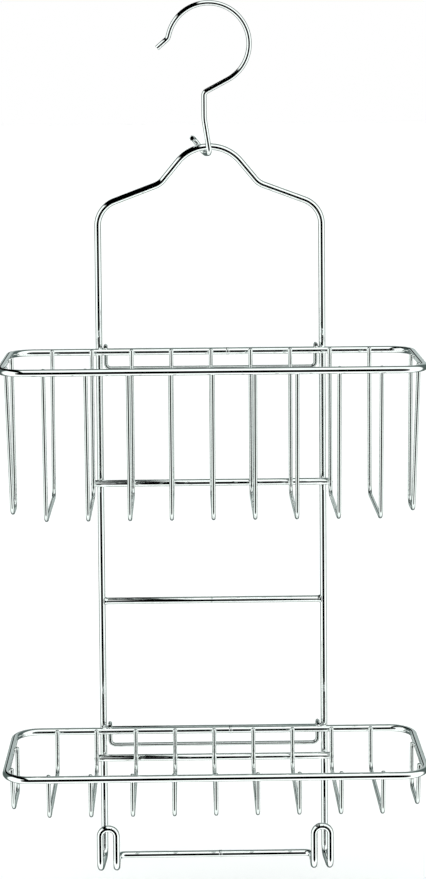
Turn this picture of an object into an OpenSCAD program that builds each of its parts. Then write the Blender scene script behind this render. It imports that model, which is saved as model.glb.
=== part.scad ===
// Two-tier hanging shower caddy in bright plated steel wire.
// One closed wire makes the tall frame, and its lower corners fold into small double hooks.
// An open hook holds the frame by an eye, and two wire baskets hang over crossbars of the frame.
// Millimetres. X runs across the caddy, Y from the bather towards the wall, Z up.
// The origin is the inside top of the hanging hook, where it sits on a shower arm.

/* [Hanging hook] */
// Wire diameter of the hanging hook
hook_d = 4; // [3:0.1:5]
// Bend radius of the hook's big arc, to the wire's centre
hook_arc_r = 31; // [28:0.1:36]
// Clear gap between the hook's shank and the frame wire in front of it
hook_gap = 1.1; // [0.5:0.1:3]

/* [Frame] */
// Wire diameter of the frame and its crossbars
frame_d = 5; // [4:0.1:6]
// Width between the centres of the two uprights
frame_w = 172; // [150:0.2:200]
// Apex of the frame below the inside top of the hook
apex_drop = 107.5; // [100:0.2:120]
// Bottom bar below the apex
frame_h = 553.8; // [500:0.1:620]
// Bend radius at the apex
apex_r = 31; // [25:0.5:45]
// Straight run from the apex bend down to the neck bend
neck_run = 18; // [8:0.5:30]
// Bend radius where the neck turns out to the shoulders
neck_r = 15; // [8:0.5:30]
// Bend radius of the shoulders
shoulder_r = 20; // [8:0.5:30]
// Middle crossbar below the apex
middle_bar_drop = 352.2; // [320:0.2:400]

/* [Small double hooks] */
// Reach of the small hooks in front of the frame
prong_reach = 33; // [20:0.2:50]
// Height of the small hooks above the bottom bar
prong_rise = 32.6; // [25:0.2:45]
// Spacing of the two legs of a small hook
prong_gap = 12.4; // [11.8:0.2:20]
// Bend radius at the feet of the small hooks
prong_r = 8; // [4:0.5:12]
// Sideways splay of the small hooks' outer legs, in degrees
prong_splay = 4; // [0:0.1:8]

/* [Baskets] */
// Wire diameter of the rims and support bars
rim_d = 5.2; // [4:0.1:6]
// Wire diameter of the ribs and lift-off hook wires
rib_d = 3; // [2:0.1:4]
// Rim width between wire centres
rim_w = 306.8; // [260:0.2:340]
// Rim depth between wire centres
rim_t = 115; // [90:0.2:150]
// Corner radius of the rims, to the wire's centre
rim_r = 18; // [8:0.5:30]
// Spacing of the ribs
rib_pitch = 30.4; // [24:0.1:36]
// Bend radius at the feet of the ribs
rib_r = 7; // [4:0.5:12]
// Bottom of the lift-off hook wires below the rim
hook_wire_drop = 14; // [10:0.5:20]
// Spacing of the lift-off hook wires' two ends
hook_wire_w = 162; // [120:0.2:164]

/* [Upper basket] */
// Rim below the apex
upper_drop = 157; // [120:0.5:200]
// Rim centre to the centre of the ribs' feet
upper_deep = 111; // [60:0.5:140]
// Rim centre to the centre of the support bar
upper_bar_drop = 102; // [40:0.5:130]
// Rear and foot depth of the two end ribs, behind the front of the frame
upper_end_rear = 49; // [30:1:60]
upper_end_foot = 74; // [50:1:90]

/* [Lower basket] */
// Rim below the apex
lower_drop = 453.4; // [400:0.2:480]
// Rim centre to the centre of the ribs' feet
lower_deep = 31; // [25:0.5:80]
// Rim centre to the centre of the support bar
lower_bar_drop = 21.4; // [15:0.2:60]
// Rear and foot depth of the two end ribs, behind the front of the frame
lower_end_rear = 50; // [30:1:60]
lower_end_foot = 92; // [60:1:100]

/* [Hidden] */
$fn = 32;
// Bend angles are held to values at which each bend meets the next straight without a step.
apex_turn = 50.466;
neck_turn = 29.9334;
shoulder_turn = 69.4676;
upper_foot_turn = 82.9868;
lower_foot_turn = 82.9868;
upper_end_turn = 75.9306;
lower_end_turn = 75.9306;
tip_turn = 34.3104;
arc_turns = [75.1502, 77.3733, 75.1502];
shank_turn = 61.9609;
ease_turn = 8.7934;
eye_end_turn = 75.9306;

weld = 0.2;            // how deep welded wires sink into each other
play = 0.3;            // clear gap between wires of different moving bodies
seam_gap = 0.2;        // half the gap between the two ends of a closed wire, inside its weld
seam_d = 0.5;          // how much fuller a butt weld is than its wire
seam_len = 2.4;        // length of a butt weld
frame_seam_x = 4.5;    // the frame's butt weld, right of the middle
rim_seam_x = 13;       // the rims' butt welds, right of the middle

apex_z = -apex_drop;
frame_y = frame_d / 2 + hook_gap + hook_d / 2;
bottom_z = apex_z - frame_h;
half_w = frame_w / 2;
rear_y = frame_y - (frame_d / 2 + play + rim_d / 2);
leg_inset = rim_d / 2 + rib_d / 2 - weld;
over_rise = rim_d / 2 + rib_d / 2 - weld;
crossbar_below_rim = frame_d / 2 + rib_d / 2 + play - over_rise;
hook_wire_y = frame_y + frame_d / 2 + rib_d / 2 + play;
hook_wire_r = 2.6;
hook_wire_foot_r = 4;
rib_top = 2.4;
end_rib_lean = 0.6;
rib_rear_y = rear_y - leg_inset;
rib_top_depth = rim_t - 2 * leg_inset;

// Places a wire: its first straight runs along z and its first bend turns towards x.
module aim(x, z, o) {
    y = cross(z, x);
    multmatrix([
        [x[0], y[0], z[0], o[0]],
        [x[1], y[1], z[1], o[1]],
        [x[2], y[2], z[2], o[2]],
        [0, 0, 0, 1]
    ]) children();
}

// Swaps between a wire's own axes and those of its bend.
module bend_axes(r) {
    multmatrix([[-1, 0, 0, r], [0, 0, 1, 0], [0, 1, 0, 0], [0, 0, 0, 1]]) children();
}

// A bent wire as a list of steps: [straight length, roll, bend angle, bend radius].
// The last step is a straight alone.
module bent(steps, d, i = 0) {
    feed = steps[i][0];
    if (feed > 0) cylinder(h = feed, d = d);
    if (i < len(steps) - 1) {
        turn = steps[i][2];
        r = steps[i][3];
        translate([0, 0, feed]) rotate([0, 0, steps[i][1]]) bend_axes(r) {
            rotate_extrude(angle = turn) translate([r, 0]) circle(d = d);
            rotate([0, 0, turn]) translate([r, 0, 0]) bend_axes(0) bent(steps, d, i + 1);
        }
    }
}

// A butt weld closing a wire that runs along X.
module seam(x, y, z, d) {
    translate([x - seam_len / 2, y, z]) rotate([0, 90, 0]) cylinder(h = seam_len, d = d + seam_d);
}

module bar(half, y, z, d) {
    color("silver") translate([-half, y, z]) rotate([0, 90, 0]) cylinder(h = 2 * half, d = d);
}

tip_angle = 41.4;      // slope of the hook's tip
tip_x = -39.1;         // the tip's cut end, sideways from the middle
tip_z = 75.379;        // the tip's cut end, above the apex

module hanging_hook() {
    c = cos(tip_angle);
    s = sin(tip_angle);
    color("silver") aim([s, 0, -c], [c, 0, s], [tip_x, 0, apex_z + tip_z]) bent([
        [9.7, 180, tip_turn, 5],
        [1.9, 180, arc_turns[0], hook_arc_r],
        [0, 0, arc_turns[1], hook_arc_r],
        [0, 0, arc_turns[2], hook_arc_r],
        [18.4, 180, shank_turn, 4],
        [15.3, 0, ease_turn, 30],
        [20.2, -108.4, 90, 4.2],
        [3.7, -28.5, 90, 4.2],
        [7.8, -24.6, eye_end_turn, 4.2],
        [2.4]
    ], hook_d);
}

// Length of the shoulder straight that brings the frame out to its full width.
shoulder_start_x = apex_r * sin(apex_turn) + neck_run * cos(apex_turn)
    + neck_r * (sin(apex_turn) - sin(apex_turn - neck_turn));
shoulder_start_z = -apex_r * (1 - cos(apex_turn)) - neck_run * sin(apex_turn)
    - neck_r * (cos(apex_turn - neck_turn) - cos(apex_turn));
slope = apex_turn - neck_turn;
shoulder_run = (half_w - shoulder_start_x - shoulder_r * (1 - sin(slope))) / cos(slope);
upright_top = shoulder_start_z - shoulder_run * sin(slope) - shoulder_r * cos(slope);
bar_turn_r = 6;
arch_r = 5.8;

// Half of the frame from the apex to the butt weld in the bottom bar, on the right-hand side.
module half_frame(seam_x) {
    inner_x = half_w + prong_reach * tan(prong_splay) - prong_gap;
    aim([0, 0, -1], [1, 0, 0], [0, frame_y, apex_z]) bent([
        [0.5, 0, apex_turn, apex_r],
        [neck_run, 180, neck_turn, neck_r],
        [shoulder_run - 0.5, 180, shoulder_turn, shoulder_r],
        [frame_h + upright_top - prong_r, -90 - prong_splay, 90, prong_r],
        [prong_reach / cos(prong_splay) - 2 * prong_r, 0, 90, prong_r],
        [prong_rise - prong_r - arch_r, 90 - prong_splay, 90, arch_r],
        [prong_gap - 2 * arch_r, 0, 90, arch_r],
        [prong_rise - prong_r - arch_r, -90, 90, prong_r],
        [prong_reach - prong_r - bar_turn_r, -90, 90, bar_turn_r],
        [inner_x - bar_turn_r - seam_x - seam_gap]
    ], frame_d);
}

module frame_loop() {
    color("silver") union() {
        half_frame(frame_seam_x);
        mirror([1, 0, 0]) half_frame(-frame_seam_x);
        seam(frame_seam_x, frame_y, bottom_z, frame_d);
    }
}

module upper_crossbar() {
    bar(half_w - frame_d / 2 + weld, frame_y, apex_z - upper_drop - crossbar_below_rim, frame_d);
}

module middle_crossbar() {
    bar(half_w - frame_d / 2 + weld, frame_y, apex_z - middle_bar_drop, frame_d);
}

module lower_crossbar() {
    bar(half_w - frame_d / 2 + weld, frame_y, apex_z - lower_drop - crossbar_below_rim, frame_d);
}

module rim(drop) {
    half = rim_w / 2;
    z = apex_z - drop;
    start = rim_seam_x + seam_gap;
    color("silver") union() {
        aim([0, -1, 0], [1, 0, 0], [start, rear_y, z]) bent([
            [half - rim_r - start, 0, 90, rim_r],
            [rim_t - 2 * rim_r, 0, 90, rim_r],
            [rim_w - 2 * rim_r, 0, 90, rim_r],
            [rim_t - 2 * rim_r, 0, 90, rim_r],
            [half - rim_r + rim_seam_x - seam_gap]
        ], rim_d);
        seam(rim_seam_x, rear_y, z, rim_d);
    }
}

module support_bar(drop) {
    bar(3 * rib_pitch + 1.6, rear_y, apex_z - drop, rim_d);
}

// Lift-off hook wire: from the top of the rim back over the crossbar, down behind it and across.
module hook_wire(drop) {
    half = hook_wire_w / 2;
    over = apex_z - drop + over_rise;
    reach = hook_wire_y - rear_y + 1;
    fall = over_rise + hook_wire_drop;
    color("silver") aim([0, 0, -1], [0, 1, 0], [-half, rear_y - 1, over]) bent([
        [reach - hook_wire_r, 0, 90, hook_wire_r],
        [fall - hook_wire_r - hook_wire_foot_r, -90, 90, hook_wire_foot_r],
        [hook_wire_w - 2 * hook_wire_foot_r, 0, 90, hook_wire_foot_r],
        [fall - hook_wire_r - hook_wire_foot_r, 90, 90, hook_wire_r],
        [reach - hook_wire_r]
    ], rib_d);
}

// A rib: down its rear leg, forward along its foot and up its leaning front leg.
module u_wire(deep, foot, turn) {
    lean = 90 - turn;
    front_cut = rib_r * tan(turn / 2);
    bent([
        [deep + rib_top - rib_r, 0, 90, rib_r],
        [foot - rib_r - front_cut, 0, turn, rib_r],
        [(deep + rib_top) / cos(lean) - front_cut]
    ], rib_d);
}

// Ribs 2 to 10 are welded inside the rim's long sides.
module rib(i, drop, deep, turn) {
    color("silver")
        aim([0, -1, 0], [0, 0, -1], [(i - 6) * rib_pitch, rib_rear_y, apex_z - drop + rib_top])
            u_wire(deep, rib_top_depth - (deep + rib_top) * tan(90 - turn), turn);
}

// Ribs 1 and 11 are welded inside the rim's short sides and lean in towards their feet.
module end_rib(side, drop, deep, rear, foot, turn) {
    x = side * (rim_w / 2 - leg_inset);
    color("silver")
        translate([x, frame_y - rear, apex_z - drop + rib_top])
            rotate([0, side * end_rib_lean, 0])
                aim([0, -1, 0], [0, 0, -1], [0, 0, 0])
                    u_wire(deep, foot - rear, turn);
}

module upper_rim() {
    rim(upper_drop);
}

module upper_support_bar() {
    support_bar(upper_drop + upper_bar_drop);
}

module upper_hook_wire() {
    hook_wire(upper_drop);
}

module upper_rib_01() {
    end_rib(-1, upper_drop, upper_deep, upper_end_rear, upper_end_foot, upper_end_turn);
}

module upper_rib_02() {
    rib(2, upper_drop, upper_deep, upper_foot_turn);
}

module upper_rib_03() {
    rib(3, upper_drop, upper_deep, upper_foot_turn);
}

module upper_rib_04() {
    rib(4, upper_drop, upper_deep, upper_foot_turn);
}

module upper_rib_05() {
    rib(5, upper_drop, upper_deep, upper_foot_turn);
}

module upper_rib_06() {
    rib(6, upper_drop, upper_deep, upper_foot_turn);
}

module upper_rib_07() {
    rib(7, upper_drop, upper_deep, upper_foot_turn);
}

module upper_rib_08() {
    rib(8, upper_drop, upper_deep, upper_foot_turn);
}

module upper_rib_09() {
    rib(9, upper_drop, upper_deep, upper_foot_turn);
}

module upper_rib_10() {
    rib(10, upper_drop, upper_deep, upper_foot_turn);
}

module upper_rib_11() {
    end_rib(1, upper_drop, upper_deep, upper_end_rear, upper_end_foot, upper_end_turn);
}

module lower_rim() {
    rim(lower_drop);
}

module lower_support_bar() {
    support_bar(lower_drop + lower_bar_drop);
}

module lower_hook_wire() {
    hook_wire(lower_drop);
}

module lower_rib_01() {
    end_rib(-1, lower_drop, lower_deep, lower_end_rear, lower_end_foot, lower_end_turn);
}

module lower_rib_02() {
    rib(2, lower_drop, lower_deep, lower_foot_turn);
}

module lower_rib_03() {
    rib(3, lower_drop, lower_deep, lower_foot_turn);
}

module lower_rib_04() {
    rib(4, lower_drop, lower_deep, lower_foot_turn);
}

module lower_rib_05() {
    rib(5, lower_drop, lower_deep, lower_foot_turn);
}

module lower_rib_06() {
    rib(6, lower_drop, lower_deep, lower_foot_turn);
}

module lower_rib_07() {
    rib(7, lower_drop, lower_deep, lower_foot_turn);
}

module lower_rib_08() {
    rib(8, lower_drop, lower_deep, lower_foot_turn);
}

module lower_rib_09() {
    rib(9, lower_drop, lower_deep, lower_foot_turn);
}

module lower_rib_10() {
    rib(10, lower_drop, lower_deep, lower_foot_turn);
}

module lower_rib_11() {
    end_rib(1, lower_drop, lower_deep, lower_end_rear, lower_end_foot, lower_end_turn);
}

hanging_hook();
frame_loop();
upper_crossbar();
middle_crossbar();
lower_crossbar();
upper_rim();
upper_support_bar();
upper_hook_wire();
upper_rib_01();
upper_rib_02();
upper_rib_03();
upper_rib_04();
upper_rib_05();
upper_rib_06();
upper_rib_07();
upper_rib_08();
upper_rib_09();
upper_rib_10();
upper_rib_11();
lower_rim();
lower_support_bar();
lower_hook_wire();
lower_rib_01();
lower_rib_02();
lower_rib_03();
lower_rib_04();
lower_rib_05();
lower_rib_06();
lower_rib_07();
lower_rib_08();
lower_rib_09();
lower_rib_10();
lower_rib_11();
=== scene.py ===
"""Looks of the hanging shower caddy: bright chrome-plated wires, their welds and cut ends, and the studio."""

import math
import random

import bpy
from mathutils import Matrix, Vector


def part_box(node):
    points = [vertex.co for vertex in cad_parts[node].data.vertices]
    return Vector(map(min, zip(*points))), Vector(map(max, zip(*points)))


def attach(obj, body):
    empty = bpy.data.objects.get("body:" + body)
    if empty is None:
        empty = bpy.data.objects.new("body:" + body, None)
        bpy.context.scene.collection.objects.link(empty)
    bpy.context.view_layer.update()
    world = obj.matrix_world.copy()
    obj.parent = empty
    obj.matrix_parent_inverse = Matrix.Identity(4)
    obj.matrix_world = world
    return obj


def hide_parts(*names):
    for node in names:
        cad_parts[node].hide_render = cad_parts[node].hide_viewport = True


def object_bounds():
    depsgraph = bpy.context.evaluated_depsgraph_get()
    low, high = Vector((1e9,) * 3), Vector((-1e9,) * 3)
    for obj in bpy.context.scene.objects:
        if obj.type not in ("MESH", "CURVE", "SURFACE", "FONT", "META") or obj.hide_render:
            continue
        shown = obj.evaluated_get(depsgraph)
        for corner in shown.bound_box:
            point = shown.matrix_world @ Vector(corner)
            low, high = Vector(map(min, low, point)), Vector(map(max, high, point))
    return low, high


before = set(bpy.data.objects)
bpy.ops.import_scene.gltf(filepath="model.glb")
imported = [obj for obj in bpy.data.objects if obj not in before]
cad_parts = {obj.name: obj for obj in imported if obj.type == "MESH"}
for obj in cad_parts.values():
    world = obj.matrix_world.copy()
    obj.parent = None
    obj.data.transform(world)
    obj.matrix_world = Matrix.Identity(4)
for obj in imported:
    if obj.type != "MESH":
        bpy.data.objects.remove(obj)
cad_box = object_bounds()

MM = 0.001
SIDES = 28  # points round a wire
BEND_STEP = 4.0  # degrees between two rings of a bend
LEAST_BEND_RINGS = 3
ROUND_END_ANGLES = (0, 0.4, 0.8, 1.15, 1.4)  # rings of a rounded end, in radians from its rim
ROUND_END_LENGTH = 0.7  # in wire radii
CUT_EDGE = 0.12  # the worn edge of a cut end, in wire radii
HOOK, FRAME = "hook", "frame"
BASKETS = ("upper", "lower")
RIBS = range(1, 12)
MIDDLE_RIB = 6
BARRED_RIBS = range(3, 10)  # the ribs that a support bar crosses
random.seed(7)

# Bend angles in degrees and bend radii in metres, as the CAD wires have them.
APEX_TURN, APEX_R = 50.466, 31 * MM
NECK_TURN, NECK_R, NECK_RUN = 29.9334, 15 * MM, 18 * MM
SHOULDER_TURN, SHOULDER_R = 69.4676, 20 * MM
PRONG_R, ARCH_R, BAR_TURN_R = 8 * MM, 5.8 * MM, 6 * MM
PRONG_REACH, PRONG_RISE, PRONG_GAP, PRONG_SPLAY = 33 * MM, 32.6 * MM, 12.4 * MM, 4
RIM_R = 18 * MM
RIB_R, FOOT_TURN, END_TURN, END_LEAN = 7 * MM, 82.9868, 75.9306, 0.6
END_RIB_DEPTHS = {"upper": (49 * MM, 74 * MM), "lower": (50 * MM, 92 * MM)}
RIB_TOP = 2.4 * MM  # top of the ribs above the rim's centre
HOOK_WIRE_R, HOOK_WIRE_FOOT_R = 2.6 * MM, 4 * MM
WELD = 0.2 * MM  # how deep welded wires sink into each other
SEAM_LEN, SEAM_PROUD = 2.4 * MM, 0.25 * MM
FRAME_SEAM_X, RIM_SEAM_X = 4.5 * MM, 13 * MM
BEAD_LONG, BEAD_FLAT = 1.9 * MM, 0.9 * MM  # half sizes of a weld bead along a wire and across the joint
TIP_ANGLE, TIP_X, TIP_Z = 41.4, -39.1 * MM, 75.379 * MM  # the hook's tip, with its height above the apex
# The hanging hook from its tip: straight run in mm, roll and bend angle in degrees, bend radius in mm.
HOOK_STEPS = [
    (9.7, 180, 34.3104, 5),
    (1.9, 180, 227.6737, 31),
    (18.4, 180, 61.9609, 4),
    (15.3, 0, 8.7934, 30),
    (20.2, -108.4, 90, 4.2),
    (3.7, -28.5, 90, 4.2),
    (7.8, -24.6, 75.9306, 4.2),
]
HOOK_LAST_RUN = 2.4

# ---------------------------------------------------------------- sizes read from the frame


def span(node, axis):
    """A CAD node's size along one axis."""
    low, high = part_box(node)
    return high[axis] - low[axis]


def middle(node, axis):
    """The middle of a CAD node's box along one axis."""
    low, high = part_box(node)
    return (high[axis] + low[axis]) / 2


HOOK_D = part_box("hanging_hook")[1].z
FRAME_D = span("upper_crossbar", 2)
RIM_D = span("upper_support_bar", 2)
RIB_D = span("upper_rib_06", 0)
FRAME_Y = middle("upper_crossbar", 1)
APEX_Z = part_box("frame_loop")[1].z - FRAME_D / 2
BOTTOM_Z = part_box("frame_loop")[0].z + FRAME_D / 2 + SEAM_PROUD
HALF_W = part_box("upper_crossbar")[1].x + FRAME_D / 2 - WELD
RIM_HALF_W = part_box("upper_rim")[1].x - RIM_D / 2
RIM_FRONT_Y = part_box("upper_rim")[0].y + RIM_D / 2
REAR_Y = middle("upper_support_bar", 1)
LEG_INSET = RIM_D / 2 + RIB_D / 2 - WELD
RIM_Z = {b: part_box(f"{b}_rim")[0].z + RIM_D / 2 + SEAM_PROUD for b in BASKETS}
RIB_PITCH = middle("upper_rib_07", 0)


def rib_x(i):
    return (i - MIDDLE_RIB) * RIB_PITCH


# ---------------------------------------------------------------- wires


def rings_of(start, heading, side, steps):
    """The rings of a bent wire: (centre, heading, side) at each. A step is (straight, roll, bend angle, bend
    radius), in degrees and metres, and the last may be (straight,). A bend with no roll turns to side."""
    at, ahead, side = Vector(start), Vector(heading).normalized(), Vector(side).normalized()
    rings = [(at.copy(), ahead.copy(), side.copy())]
    for step in steps:
        if step[0] > 0:
            at = at + ahead * step[0]
            rings.append((at.copy(), ahead.copy(), side.copy()))
        if len(step) == 1:
            break
        roll, angle, radius = math.radians(step[1]), math.radians(step[2]), step[3]
        side = Matrix.Rotation(roll, 3, ahead) @ side
        rings[-1] = (at.copy(), ahead.copy(), side.copy())
        centre, axis = at + side * radius, ahead.cross(side)
        count = max(LEAST_BEND_RINGS, math.ceil(step[2] / BEND_STEP))
        first_arm, first_ahead, first_side = at - centre, ahead.copy(), side.copy()
        for k in range(1, count + 1):
            turn = Matrix.Rotation(angle * k / count, 3, axis)
            at, ahead, side = centre + turn @ first_arm, turn @ first_ahead, turn @ first_side
            rings.append((at.copy(), ahead.copy(), side.copy()))
    return rings


def straight_rings(x1, x2, y, z):
    """The two rings of a straight wire along X."""
    return [(Vector((x, y, z)), Vector((1, 0, 0)), Vector((0, 0, 1))) for x in (x1, x2)]


def untwisted(rings):
    """The same rings, each turned round its own centre to match the one before, so the mesh doesn't twist."""
    out = [rings[0]]
    for at, ahead, _ in rings[1:]:
        before = out[-1][2]
        flat = (before - ahead * before.dot(ahead)).normalized()
        out.append((at, ahead, flat))
    return out


def end_profile(radius, kind):
    """(how far back from the end, ring radius) pairs that close a wire's end."""
    if kind == "round":
        length = radius * ROUND_END_LENGTH
        return [((1 - math.sin(a)) * length, radius * math.cos(a)) for a in ROUND_END_ANGLES]
    edge = CUT_EDGE * radius
    return [(edge, radius), (edge * 0.35, radius - edge * 0.35), (0.0, radius - edge), (0.0, radius * 0.4)]


def tube(name, rings, radius, ends=("cut", "cut"), closed=False):
    """A smooth round wire along the rings."""
    rings = untwisted(rings)
    profile = [(at, ahead, side, radius) for at, ahead, side in rings]
    if not closed:
        at, ahead, side = rings[0]
        first_end = reversed(end_profile(radius, ends[0]))
        profile[0:1] = [(at + ahead * back, ahead, side, r) for back, r in first_end]
        at, ahead, side = rings[-1]
        profile[-1:] = [(at - ahead * back, ahead, side, r) for back, r in end_profile(radius, ends[1])]
    points, faces = [], []
    for at, ahead, side, r in profile:
        other = ahead.cross(side)
        for k in range(SIDES):
            a = 2 * math.pi * k / SIDES
            points.append(at + (side * math.cos(a) + other * math.sin(a)) * r)
    count = len(profile)
    for i in range(count if closed else count - 1):
        j = (i + 1) % count
        shift = seam_shift(points, i, j) if j == 0 else 0
        for k in range(SIDES):
            m = (k + 1) % SIDES
            near, far = i * SIDES, j * SIDES
            faces.append((near + k, near + m, far + (m + shift) % SIDES, far + (k + shift) % SIDES))
    if not closed:
        faces.append(tuple(range(SIDES - 1, -1, -1)))
        faces.append(tuple(range((count - 1) * SIDES, count * SIDES)))
    return mesh_piece(name, points, faces)


def seam_shift(points, i, j):
    """How many points round a closed wire's last ring and its first are turned from each other."""
    first = points[i * SIDES]
    return min(range(SIDES), key=lambda s: (points[j * SIDES + s] - first).length)


def mesh_piece(name, points, faces):
    """A smooth-shaded piece of those points and faces."""
    mesh = bpy.data.meshes.new(name)
    mesh.from_pydata([tuple(p) for p in points], [], faces)
    mesh.validate()
    for polygon in mesh.polygons:
        polygon.use_smooth = True
    piece = bpy.data.objects.new(name, mesh)
    bpy.context.scene.collection.objects.link(piece)
    return piece


def place(piece, body, material, *nodes):
    """Gives the piece its material and body, and hides the CAD nodes that it stands for."""
    piece.data.materials.append(material)
    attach(piece, body)
    if nodes:
        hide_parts(*nodes)


# ---------------------------------------------------------------- welds


BEAD_ROWS, BEAD_COLUMNS, BEAD_WOBBLE = 7, 12, 0.05
# Weld profiles: (distance along the wire, height above it) pairs. The butt weld's are shares of its half
# length and of SEAM_PROUD, and the fillet's are in mm.
BUTT_PROFILE = [
    (-1, -0.02),
    (-0.75, 0.45),
    (-0.45, 0.95),
    (-0.15, 0.8),
    (0, 0.5),
    (0.15, 0.8),
    (0.45, 0.95),
    (0.75, 0.45),
    (1, -0.02),
]
FILLET_PROFILE = [(-0.4, 0.55), (0.35, 0.5), (0.9, 0.28), (1.5, 0.1), (2.2, -0.02)]


def bead(points, faces, centre, size):
    """Adds a weld bead: a slightly uneven ellipsoid with those half sizes."""
    base, rows, columns = len(points), BEAD_ROWS, BEAD_COLUMNS
    for i in range(1, rows):
        for k in range(columns):
            a, b = math.pi * i / rows, 2 * math.pi * k / columns
            unit = Vector((math.sin(a) * math.cos(b), math.sin(a) * math.sin(b), math.cos(a)))
            wobble = 1 + random.uniform(-BEAD_WOBBLE, BEAD_WOBBLE)
            local = Vector((unit.x * size[0], unit.y * size[1], unit.z * size[2])) * wobble
            points.append(Vector(centre) + local)
    top, bottom = len(points), len(points) + 1
    points.append(Vector(centre) + Vector((0, 0, size[2])))
    points.append(Vector(centre) - Vector((0, 0, size[2])))
    for k in range(columns):
        m = (k + 1) % columns
        for i in range(rows - 2):
            a, b = base + i * columns, base + (i + 1) * columns
            faces.append((a + k, b + k, b + m, a + m))
        last = base + (rows - 2) * columns
        faces.append((top, base + k, base + m))
        faces.append((bottom, last + m, last + k))


def collar(points, faces, start, heading, profile):
    """Adds a turned ring round a line: profile is (distance along the line, radius) pairs."""
    base, ahead = len(points), Vector(heading).normalized()
    side = ahead.orthogonal().normalized()
    other = ahead.cross(side)
    for along, radius in profile:
        for k in range(SIDES):
            a = 2 * math.pi * k / SIDES
            outward = side * math.cos(a) + other * math.sin(a)
            points.append(Vector(start) + ahead * along + outward * radius)
    for i in range(len(profile) - 1):
        for k in range(SIDES):
            m = (k + 1) % SIDES
            a, b = base + i * SIDES, base + (i + 1) * SIDES
            faces.append((a + k, a + m, b + m, b + k))


def butt_weld(points, faces, x, y, z, radius):
    """A closed wire's butt weld: a low upset ring with a groove down its middle."""
    half = SEAM_LEN / 2
    profile = [(half * a, radius + SEAM_PROUD * b) for a, b in BUTT_PROFILE]
    collar(points, faces, (x, y, z), (1, 0, 0), profile)


def bar_end_weld(points, faces, x, y, z, side):
    """The fillet where a crossbar meets an upright's inner side."""
    face = x - side * FRAME_D / 2
    profile = [(a * MM, FRAME_D / 2 + b * MM) for a, b in FILLET_PROFILE]
    collar(points, faces, (face, y, z), (-side, 0, 0), profile)


# ---------------------------------------------------------------- materials

CLOUD_SCALE, SPECK_SCALE = 90, 1400
CLOUD_SHADE = 0.93  # the tint's share left in the darkest clouds
RIPPLE_DEPTH = 0.05 * MM


def plated(name, tint, roughness, haze, ripple):
    """Bright chrome plate, with faint water-mark clouding in the gloss and the drawn wire's fine ripple."""
    material = bpy.data.materials.new(name)
    material.use_nodes = True
    nodes, links = material.node_tree.nodes, material.node_tree.links
    shader = nodes["Principled BSDF"]
    shader.inputs["Metallic"].default_value = 1.0
    place_of = nodes.new("ShaderNodeTexCoord")

    clouds = nodes.new("ShaderNodeTexNoise")
    clouds.inputs["Scale"].default_value = CLOUD_SCALE
    clouds.inputs["Detail"].default_value = 4
    specks = nodes.new("ShaderNodeTexNoise")
    specks.inputs["Scale"].default_value = SPECK_SCALE
    specks.inputs["Detail"].default_value = 2
    for texture in (clouds, specks):
        links.new(place_of.outputs["Object"], texture.inputs["Vector"])

    gloss = nodes.new("ShaderNodeMapRange")
    gloss.inputs["From Min"].default_value = 0.35
    gloss.inputs["From Max"].default_value = 0.7
    gloss.inputs["To Min"].default_value = roughness
    gloss.inputs["To Max"].default_value = roughness + haze
    links.new(clouds.outputs["Fac"], gloss.inputs["Value"])
    links.new(gloss.outputs["Result"], shader.inputs["Roughness"])

    colour = nodes.new("ShaderNodeValToRGB")
    colour.color_ramp.elements[0].position = 0.3
    colour.color_ramp.elements[0].color = [c * CLOUD_SHADE for c in tint] + [1]
    colour.color_ramp.elements[1].position = 0.62
    colour.color_ramp.elements[1].color = list(tint) + [1]
    links.new(clouds.outputs["Fac"], colour.inputs["Fac"])
    links.new(colour.outputs["Color"], shader.inputs["Base Color"])

    bump = nodes.new("ShaderNodeBump")
    bump.inputs["Strength"].default_value = ripple
    bump.inputs["Distance"].default_value = RIPPLE_DEPTH
    links.new(specks.outputs["Fac"], bump.inputs["Height"])
    links.new(bump.outputs["Normal"], shader.inputs["Normal"])
    return material


CHROME = plated("chrome_plate", (0.93, 0.945, 0.94), 0.006, 0.02, 0.03)
RIB_CHROME = plated("chrome_thin_wire", (0.8, 0.825, 0.815), 0.01, 0.03, 0.03)
WELD_CHROME = plated("chrome_over_weld", (0.88, 0.895, 0.89), 0.06, 0.1, 0.4)

# ---------------------------------------------------------------- the hook and the frame


def hanging_hook():
    """The question-mark hook with its shank and eye, from its tip to the eye's cut end."""
    c, s = math.cos(math.radians(TIP_ANGLE)), math.sin(math.radians(TIP_ANGLE))
    steps = [(run * MM, roll, turn, radius * MM) for run, roll, turn, radius in HOOK_STEPS]
    steps.append((HOOK_LAST_RUN * MM,))
    rings = rings_of((TIP_X, 0, APEX_Z + TIP_Z), (c, 0, s), (s, 0, -c), steps)
    place(tube("hook_wire", rings, HOOK_D / 2), HOOK, CHROME, "hanging_hook")


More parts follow.
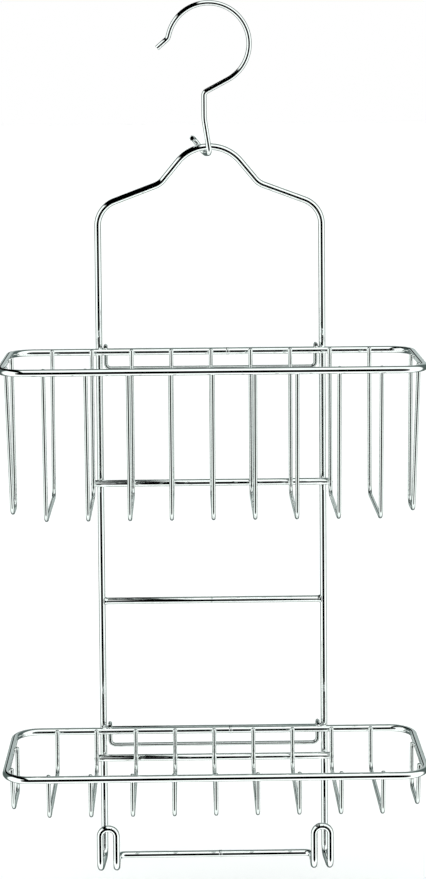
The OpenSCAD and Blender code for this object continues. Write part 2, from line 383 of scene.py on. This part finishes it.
def half_frame_steps():
    """The right half of the frame wire, from its apex by the shoulder and double hook to the bottom bar."""
    apex, slope = math.radians(APEX_TURN), math.radians(APEX_TURN - NECK_TURN)
    neck_x = NECK_R * (math.sin(apex) - math.sin(slope))
    neck_z = NECK_R * (math.cos(slope) - math.cos(apex))
    start_x = APEX_R * math.sin(apex) + NECK_RUN * math.cos(apex) + neck_x
    start_z = -APEX_R * (1 - math.cos(apex)) - NECK_RUN * math.sin(apex) - neck_z
    splay = math.radians(PRONG_SPLAY)
    run = (HALF_W - start_x - SHOULDER_R * (1 - math.sin(slope))) / math.cos(slope)
    upright_top = start_z - run * math.sin(slope) - SHOULDER_R * math.cos(slope)
    upright = APEX_Z + upright_top - BOTTOM_Z - PRONG_R
    leg = PRONG_RISE - PRONG_R - ARCH_R
    inner_x = HALF_W + PRONG_REACH * math.tan(splay) - PRONG_GAP
    return [
        (0, 0, APEX_TURN, APEX_R),
        (NECK_RUN, 180, NECK_TURN, NECK_R),
        (run, 180, SHOULDER_TURN, SHOULDER_R),
        (upright, -90 - PRONG_SPLAY, 90, PRONG_R),
        (PRONG_REACH / math.cos(splay) - 2 * PRONG_R, 0, 90, PRONG_R),
        (leg, 90 - PRONG_SPLAY, 90, ARCH_R),
        (PRONG_GAP - 2 * ARCH_R, 0, 90, ARCH_R),
        (leg, -90, 90, PRONG_R),
        (PRONG_REACH - PRONG_R - BAR_TURN_R, -90, 90, BAR_TURN_R),
        (inner_x - BAR_TURN_R,),
    ]


def frame_loop():
    """The closed frame wire: the right half and its mirror image."""
    right = rings_of((0, FRAME_Y, APEX_Z), (1, 0, 0), (0, 0, -1), half_frame_steps())
    flip = Matrix.Scale(-1, 3, (1, 0, 0))
    left = [(flip @ at, -(flip @ ahead), flip @ side) for at, ahead, side in reversed(right)]
    rings = left[:-1] + right[:-1]  # each end of a half is shared with the other half
    place(tube("frame_wire", rings, FRAME_D / 2, closed=True), FRAME, CHROME, "frame_loop")


def crossbar(which):
    """A straight wire between the uprights. Gives back its height."""
    node = f"{which}_crossbar"
    low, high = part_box(node)
    z = middle(node, 2)
    rings = straight_rings(low.x, high.x, FRAME_Y, z)
    place(tube(f"{which}_crossbar_wire", rings, FRAME_D / 2), FRAME, CHROME, node)
    return z


def frame_group():
    """The frame wire, its crossbars and their welds."""
    frame_loop()
    points, faces = [], []
    for which in ("upper", "middle", "lower"):
        z = crossbar(which)
        for side in (-1, 1):
            bar_end_weld(points, faces, side * HALF_W, FRAME_Y, z, side)
    butt_weld(points, faces, FRAME_SEAM_X, FRAME_Y, BOTTOM_Z, FRAME_D / 2)
    place(mesh_piece("frame_welds", points, faces), FRAME, WELD_CHROME)


# ---------------------------------------------------------------- the baskets


def rim(b):
    """The closed rim wire, from the butt weld in its rear side round to it again."""
    depth, width = REAR_Y - RIM_FRONT_Y, 2 * RIM_HALF_W
    start = (RIM_SEAM_X, REAR_Y, RIM_Z[b])
    steps = [
        (RIM_HALF_W - RIM_R - RIM_SEAM_X, 0, 90, RIM_R),
        (depth - 2 * RIM_R, 0, 90, RIM_R),
        (width - 2 * RIM_R, 0, 90, RIM_R),
        (depth - 2 * RIM_R, 0, 90, RIM_R),
    ]
    rings = rings_of(start, (1, 0, 0), (0, -1, 0), steps)
    place(tube(f"{b}_rim_wire", rings, RIM_D / 2, closed=True), f"{b}_basket", CHROME, f"{b}_rim")


def support_bar(b):
    """A straight wire across the backs of the ribs. Gives back its height."""
    node = f"{b}_support_bar"
    low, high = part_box(node)
    z = middle(node, 2)
    rings = straight_rings(low.x, high.x, REAR_Y, z)
    place(tube(f"{b}_support_wire", rings, RIM_D / 2), f"{b}_basket", CHROME, node)
    return z


def hook_wire(b):
    """From the rim's top back over the crossbar, down behind it and across. Gives back half its width."""
    node = f"{b}_hook_wire"
    low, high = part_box(node)
    half, r = (span(node, 0) - RIB_D) / 2, HOOK_WIRE_R
    over, bottom, back = high.z - RIB_D / 2, low.z + RIB_D / 2, high.y - RIB_D / 2
    reach, fall = back - low.y, over - bottom
    steps = [
        (reach - r, 0, 90, r),
        (fall - r - HOOK_WIRE_FOOT_R, -90, 90, HOOK_WIRE_FOOT_R),
        (2 * half - 2 * HOOK_WIRE_FOOT_R, 0, 90, HOOK_WIRE_FOOT_R),
        (fall - r - HOOK_WIRE_FOOT_R, 90, 90, r),
        (reach - r,),
    ]
    rings = rings_of((-half, low.y, over), (0, 1, 0), (0, 0, -1), steps)
    place(tube(f"{b}_lift_wire", rings, RIB_D / 2), f"{b}_basket", RIB_CHROME, node)
    return half


def u_steps(height, foot, turn):
    """A rib: its rear leg, its foot and its front leg, which leans forward when turn is under 90 degrees."""
    lean = math.radians(90 - turn)
    front_cut = RIB_R * math.tan(math.radians(turn) / 2)
    return [
        (height - RIB_R, 0, 90, RIB_R),
        (foot - RIB_R - front_cut, 0, turn, RIB_R),
        (height / math.cos(lean) - front_cut,),
    ]


def foot_depth(b):
    """Top of the ribs to the centre of their feet."""
    return span(f"{b}_rib_06", 2) - RIB_D / 2 - end_rise(FOOT_TURN)


def end_rise(turn):
    """How far the leaning front leg's cut end stands above its own centre."""
    return RIB_D / 2 * math.sin(math.radians(90 - turn))


def rib(b, i):
    """A U wire inside the rim. The first and the last stand inside the short sides, leaning a little."""
    height, top = foot_depth(b), RIM_Z[b] + RIB_TOP
    if i in (RIBS[0], RIBS[-1]):
        side = -1 if i == RIBS[0] else 1
        rear, foot = END_RIB_DEPTHS[b]
        corner = Vector((side * (RIM_HALF_W - LEG_INSET), FRAME_Y - rear, top))
        turned = Matrix.Rotation(math.radians(side * END_LEAN), 3, "Y")
        steps = u_steps(height, foot - rear, END_TURN)
    else:
        corner = Vector((rib_x(i), REAR_Y - LEG_INSET, top))
        turned = Matrix.Identity(3)
        depth = REAR_Y - RIM_FRONT_Y - 2 * LEG_INSET
        steps = u_steps(height, depth - height * math.tan(math.radians(90 - FOOT_TURN)), FOOT_TURN)
    rings = rings_of(corner, turned @ Vector((0, 0, -1)), turned @ Vector((0, -1, 0)), steps)
    node = f"{b}_rib_{i:02d}"
    wire = tube(f"{node}_wire", rings, RIB_D / 2, ends=("round", "round"))
    place(wire, f"{b}_basket", RIB_CHROME, node)


def basket(b):
    """One basket: its rim, bar, hook wire and ribs, then the welds between them as one piece."""
    rim(b)
    bar_z = support_bar(b)
    half = hook_wire(b)
    for i in RIBS:
        rib(b, i)
    points, faces = [], []
    rim_z = RIM_Z[b]
    butt_weld(points, faces, RIM_SEAM_X, REAR_Y, rim_z, RIM_D / 2)
    contact = RIM_D / 2 - WELD / 2
    facing_x = (BEAD_FLAT, BEAD_LONG, BEAD_LONG)
    facing_y = (BEAD_LONG, BEAD_FLAT, BEAD_LONG)
    facing_z = (BEAD_LONG, BEAD_LONG, BEAD_FLAT)
    for i in RIBS[1:-1]:
        for y in (REAR_Y - contact, RIM_FRONT_Y + contact):
            bead(points, faces, (rib_x(i), y, rim_z), facing_y)
        if i in BARRED_RIBS:
            bead(points, faces, (rib_x(i), REAR_Y - contact, bar_z), facing_y)
    rear, foot = END_RIB_DEPTHS[b]
    reach = foot - rear + foot_depth(b) * math.tan(math.radians(90 - END_TURN))
    for side in (-1, 1):
        for y in (FRAME_Y - rear, FRAME_Y - rear - reach):
            bead(points, faces, (side * (RIM_HALF_W - contact), y, rim_z), facing_x)
        bead(points, faces, (side * half, REAR_Y, rim_z + contact), facing_z)
    place(mesh_piece(f"{b}_basket_welds", points, faces), f"{b}_basket", WELD_CHROME)


hanging_hook()
frame_group()
for b in BASKETS:
    basket(b)

# ---------------------------------------------------------------- studio

FLOOR_DROP = 0.06  # floor below the lowest wire
FLOOR_SIZE = 60


def floor():
    """A wide matt floor, which the wires don't mirror."""
    low, _ = cad_box
    bpy.ops.mesh.primitive_plane_add(size=FLOOR_SIZE, location=(0, 0, low.z - FLOOR_DROP))
    plane = bpy.context.object
    plane.name = "floor"
    material = bpy.data.materials.new("pale_floor")
    material.use_nodes = True
    shader = material.node_tree.nodes["Principled BSDF"]
    shader.inputs["Base Color"].default_value = (0.93, 0.93, 0.93, 1)
    shader.inputs["Roughness"].default_value = 0.9
    shader.inputs["Specular IOR Level"].default_value = 0.1
    plane.data.materials.append(material)
    plane.visible_glossy = False


def overhead_light():
    """A broad soft light that keeps the floor pale. The wires mirror the tent and not this light."""
    light = bpy.data.lights.new("overhead", "SUN")
    light.energy = 2.2
    light.angle = math.radians(40)
    holder = bpy.data.objects.new("overhead", light)
    holder.rotation_euler = (math.radians(12), math.radians(-10), 0)
    holder.visible_glossy = False
    bpy.context.scene.collection.objects.link(holder)


# The light tent that the wires mirror: white, with a black opening in front, a dark band beyond its sides,
# grey behind the object, and a black gap between its top and its left wall. The stops are (degrees, colour):
# for the opening, from its middle; for the gap, round the Y axis from straight up towards the left.
OPENING = Vector((0, -math.cos(math.radians(12)), -math.sin(math.radians(12))))
OPENING_STOPS = [
    (0, (0, 0, 0)),
    (36, (0, 0, 0)),
    (40, (0.96, 1, 0.985)),
    (96, (0.93, 0.99, 0.965)),
    (107, (0.075, 0.1, 0.095)),
    (146, (0.075, 0.1, 0.095)),
    (160, (0.3, 0.35, 0.34)),
    (180, (0.42, 0.47, 0.46)),
]
GAP_STOPS = [
    (0, (1, 1, 1)),
    (10, (1, 1, 1)),
    (15, (0, 0, 0)),
    (45, (0, 0, 0)),
    (50, (1, 1, 1)),
    (180, (1, 1, 1)),
]
TENT_STRENGTH = 1.25


def colour_by_angle(nodes, links, radians, stops):
    """A colour ramp over an angle of 0 to 180 degrees."""
    share = nodes.new("ShaderNodeMath")
    share.operation = "DIVIDE"
    share.inputs[1].default_value = math.pi
    links.new(radians, share.inputs[0])
    ramp = nodes.new("ShaderNodeValToRGB")
    while len(ramp.color_ramp.elements) < len(stops):
        ramp.color_ramp.elements.new(0.5)
    for element, (degrees, colour) in zip(ramp.color_ramp.elements, stops):
        element.position = degrees / 180
        element.color = (*colour, 1)
    links.new(share.outputs["Value"], ramp.inputs["Fac"])
    return ramp.outputs["Color"]


def from_opening(nodes, links, direction):
    """The angle between a direction and the middle of the opening."""
    near = nodes.new("ShaderNodeVectorMath")
    near.operation = "DOT_PRODUCT"
    near.inputs[1].default_value = OPENING
    links.new(direction, near.inputs[0])
    angle = nodes.new("ShaderNodeMath")
    angle.operation = "ARCCOSINE"
    links.new(near.outputs["Value"], angle.inputs[0])
    return angle.outputs["Value"]


def left_of_up(nodes, links, direction):
    """The angle of a direction round the Y axis, from straight up towards the left."""
    parts = nodes.new("ShaderNodeSeparateXYZ")
    links.new(direction, parts.inputs["Vector"])
    left = nodes.new("ShaderNodeMath")
    left.operation = "MULTIPLY"
    left.inputs[1].default_value = -1
    links.new(parts.outputs["X"], left.inputs[0])
    angle = nodes.new("ShaderNodeMath")
    angle.operation = "ARCTAN2"
    links.new(left.outputs["Value"], angle.inputs[0])
    links.new(parts.outputs["Z"], angle.inputs[1])
    return angle.outputs["Value"]


def light_tent():
    """What the wires mirror. The camera itself sees plain white."""
    world = bpy.data.worlds.new("light_tent")
    bpy.context.scene.world = world
    world.use_nodes = True
    nodes, links = world.node_tree.nodes, world.node_tree.links
    nodes.clear()
    direction = nodes.new("ShaderNodeTexCoord").outputs["Generated"]
    both = nodes.new("ShaderNodeMixRGB")
    both.blend_type = "MULTIPLY"
    both.inputs["Fac"].default_value = 1
    opening = colour_by_angle(nodes, links, from_opening(nodes, links, direction), OPENING_STOPS)
    gap = colour_by_angle(nodes, links, left_of_up(nodes, links, direction), GAP_STOPS)
    links.new(opening, both.inputs["Color1"])
    links.new(gap, both.inputs["Color2"])
    tent = nodes.new("ShaderNodeBackground")
    tent.inputs["Strength"].default_value = TENT_STRENGTH
    links.new(both.outputs["Color"], tent.inputs["Color"])
    plain = nodes.new("ShaderNodeBackground")
    plain.inputs["Color"].default_value = (1, 1, 1, 1)
    seen = nodes.new("ShaderNodeLightPath")
    mix = nodes.new("ShaderNodeMixShader")
    out = nodes.new("ShaderNodeOutputWorld")
    links.new(seen.outputs["Is Camera Ray"], mix.inputs[0])
    links.new(tent.outputs[0], mix.inputs[1])
    links.new(plain.outputs[0], mix.inputs[2])
    links.new(mix.outputs[0], out.inputs["Surface"])


CAMERA_PLACE = (-0.0177, -1.6320, -0.0559)
CAMERA_YAW, CAMERA_DOWN, CAMERA_ROLL = -0.712, 3.769, -0.488  # degrees
CAMERA_LENS, CAMERA_SENSOR = 87.50, 36  # mm
CAMERA_SHIFT = -0.25  # in sensor sizes, down


def camera():
    """The photograph's view, from in front and a little below the hook's top. The shift keeps the uprights
    from converging much."""
    data = bpy.data.cameras.new("camera")
    data.sensor_width = CAMERA_SENSOR
    data.lens = CAMERA_LENS
    data.shift_y = CAMERA_SHIFT
    holder = bpy.data.objects.new("camera", data)
    holder.location = CAMERA_PLACE
    yaw, pitch, roll = (math.radians(a) for a in (CAMERA_YAW, 90 - CAMERA_DOWN, CAMERA_ROLL))
    turn = Matrix.Rotation(yaw, 4, "Z") @ Matrix.Rotation(pitch, 4, "X") @ Matrix.Rotation(roll, 4, "Z")
    holder.rotation_euler = turn.to_euler()
    bpy.context.scene.collection.objects.link(holder)
    bpy.context.scene.camera = holder


bpy.context.scene.view_settings.view_transform = "Standard"
floor()
light_tent()
overhead_light()
camera()
